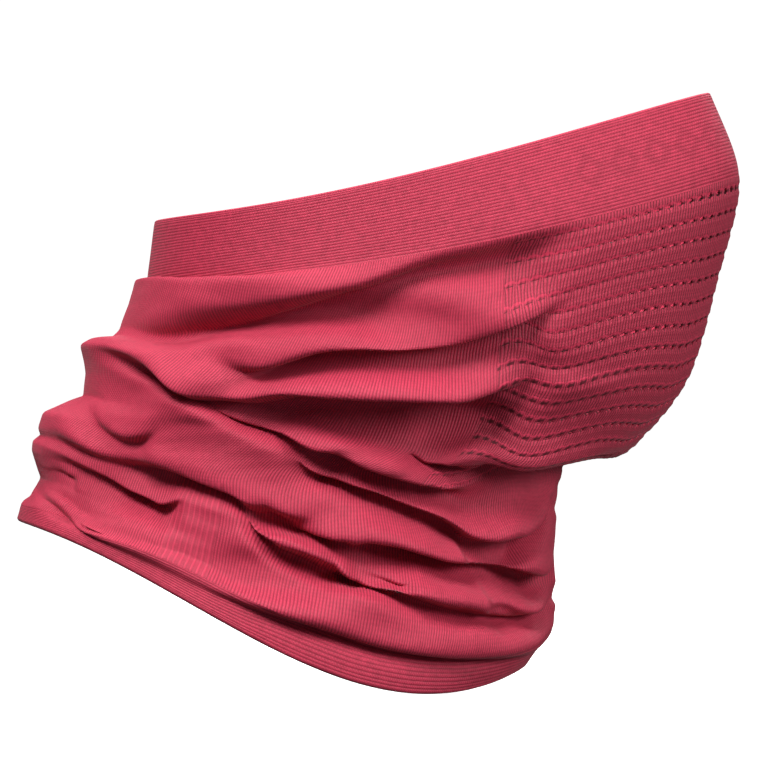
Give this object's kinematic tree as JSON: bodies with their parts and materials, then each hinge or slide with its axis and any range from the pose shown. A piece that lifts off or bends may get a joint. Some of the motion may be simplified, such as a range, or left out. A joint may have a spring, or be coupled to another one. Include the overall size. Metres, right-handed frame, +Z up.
{
  "type": "neck gaiter",
  "caption": "Stretch-knit neck gaiter shaped as worn: double-ply welts at both edges, an eyelet breathing panel over nose and mouth, and a gathered neck sleeve.",
  "frame": {"origin": "middle of the neck opening, in the plane of the hem edge", "axes": "+X is the way the wearer faces, +Y the wearer's left, +Z up"},
  "size_m": [0.2649, 0.1524, 0.2183],
  "materials": {
    "welt_knit": "double-ply welt knit with fine level courses, raspberry",
    "eyelet_knit": "open eyelet knit, rows of small holes between ribbed strips, raspberry",
    "sleeve_knit": "fine plain knit, soft matt, raspberry",
    "rib_knit": "coarser vertical rib, raspberry"
  },
  "bodies": {
    "root": {"top_welt": "welt_knit", "hem_welt": "welt_knit", "mask_panel": "eyelet_knit", "cheek_sleeve": "sleeve_knit", "throat_sleeve": "sleeve_knit", "nape_sleeve": "sleeve_knit", "rib_stripe_left": "rib_knit", "rib_stripe_right": "rib_knit"}
  },
  "joints": []
}
